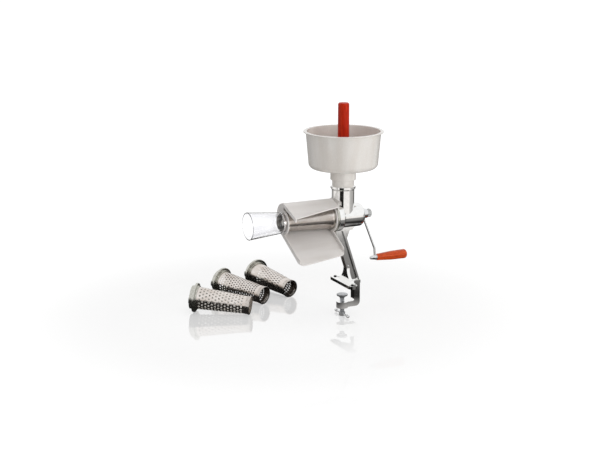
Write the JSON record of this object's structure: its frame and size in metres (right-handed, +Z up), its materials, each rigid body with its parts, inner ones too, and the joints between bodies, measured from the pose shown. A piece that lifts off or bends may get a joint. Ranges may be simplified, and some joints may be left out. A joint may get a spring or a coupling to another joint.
{
  "type": "tomato strainer",
  "caption": "Hand cranked tomato strainer on a table clamp: hopper with plunger, spiral in a perforated screen, juice chute, waste funnel, and spare screens beside it.",
  "frame": {"origin": "on the underside of the clamp's jaw, where it rests on the table top, straight below the middle of the feed tube", "axes": "+Z up, +X along the barrel towards the crank, -Y towards the chute's lip"},
  "size_m": [0.5317, 0.4614, 0.5495],
  "materials": {
    "cast_body": "polished casting",
    "white_plastic": "glossy moulding",
    "clear_plastic": "clear moulding",
    "plunger_red": "satin moulding",
    "screen_steel": "perforated, polished",
    "flange_alloy": "satin casting",
    "spiral_nylon": "satin moulding",
    "chrome_steel": "bright plating",
    "plain_steel": "zinc plated",
    "knob_grey": "satin moulding",
    "grip_lacquer": "orange-red lacquer",
    "black_rubber": "matt"
  },
  "bodies": {
    "machine": {"body_casting": "cast_body", "shaft_bush": "spiral_nylon", "jaw_stud_front": "black_rubber", "jaw_stud_rear": "black_rubber"},
    "crank": {"spiral_auger": "spiral_nylon", "drive_shaft": "plain_steel", "thrust_washer": "spiral_nylon", "shaft_seal": "black_rubber", "crank_hub": "chrome_steel", "crank_arm": "chrome_steel", "crank_thumb_nut": "knob_grey", "grip_washer": "chrome_steel", "grip_nut": "chrome_steel", "grip_spindle": "chrome_steel"},
    "crank_grip": {"grip": "grip_lacquer"},
    "hopper_bowl": {"hopper": "white_plastic"},
    "food_plunger": {"plunger": "plunger_red"},
    "screen_unit": {"screen_cone": "screen_steel", "screen_flange": "flange_alloy", "screen_end_ring": "screen_steel", "chute": "white_plastic"},
    "funnel": {"waste_funnel": "clear_plastic"},
    "pad": {"clamp_pad": "plain_steel"},
    "screw": {"clamp_screw": "plain_steel", "clamp_tommy_bar": "chrome_steel"},
    "spare_coarse_screen": {"spare_coarse_cone": "screen_steel", "spare_coarse_flange": "flange_alloy", "spare_coarse_end_ring": "screen_steel"},
    "spare_medium_screen": {"spare_medium_cone": "screen_steel", "spare_medium_flange": "flange_alloy", "spare_medium_end_ring": "screen_steel"},
    "spare_fine_screen": {"spare_fine_cone": "screen_steel", "spare_fine_flange": "flange_alloy", "spare_fine_end_ring": "screen_steel"}
  },
  "joints": [
    {"name": "crank_turn", "type": "hinge", "parent": "machine", "child": "crank", "pos_m": [0, 0, 0.179], "axis": [1, 0, 0], "continuous": true},
    {"name": "grip_spin", "type": "hinge", "parent": "crank", "child": "crank_grip", "pos_m": [0.08625, -0.01414, 0.06387], "axis": [1, 0, 0], "continuous": true},
    {"name": "hopper_lift", "type": "slide", "parent": "machine", "child": "hopper_bowl", "axis": [0, 0, 1], "range_m": [0, 0.06]},
    {"name": "plunger_lift", "type": "slide", "parent": "machine", "child": "food_plunger", "axis": [0, 0, 1], "range_m": [0, 0.26]},
    {"name": "screen_twist", "type": "hinge", "parent": "machine", "child": "screen_unit", "pos_m": [0, 0, 0.179], "axis": [1, 0, 0], "range_deg": [-30, 0]},
    {"name": "funnel_pull", "type": "slide", "parent": "screen_unit", "child": "funnel", "axis": [-1, 0, 0], "range_m": [0, 0.03]},
    {"name": "clamp_pad_slide", "type": "slide", "parent": "machine", "child": "pad", "axis": [0, 0, 1], "range_m": [-0.01, 0.009]},
    {"name": "clamp_screw_turn", "type": "hinge", "parent": "pad", "child": "screw", "pos_m": [0, 0, 0], "axis": [0, 0, 1], "range_deg": [-1201, 1081]},
    {"name": "spare_coarse_lift", "type": "slide", "parent": "machine", "child": "spare_coarse_screen", "axis": [0, 0, 1], "range_m": [0, 0.1]},
    {"name": "spare_medium_lift", "type": "slide", "parent": "machine", "child": "spare_medium_screen", "axis": [0, 0, 1], "range_m": [0, 0.1]},
    {"name": "spare_fine_lift", "type": "slide", "parent": "machine", "child": "spare_fine_screen", "axis": [0, 0, 1], "range_m": [0, 0.1]}
  ],
  "couplings": [
    {"joint": "clamp_screw_turn", "follows": "clamp_pad_slide", "rad_per_m": 2094.4}
  ]
}
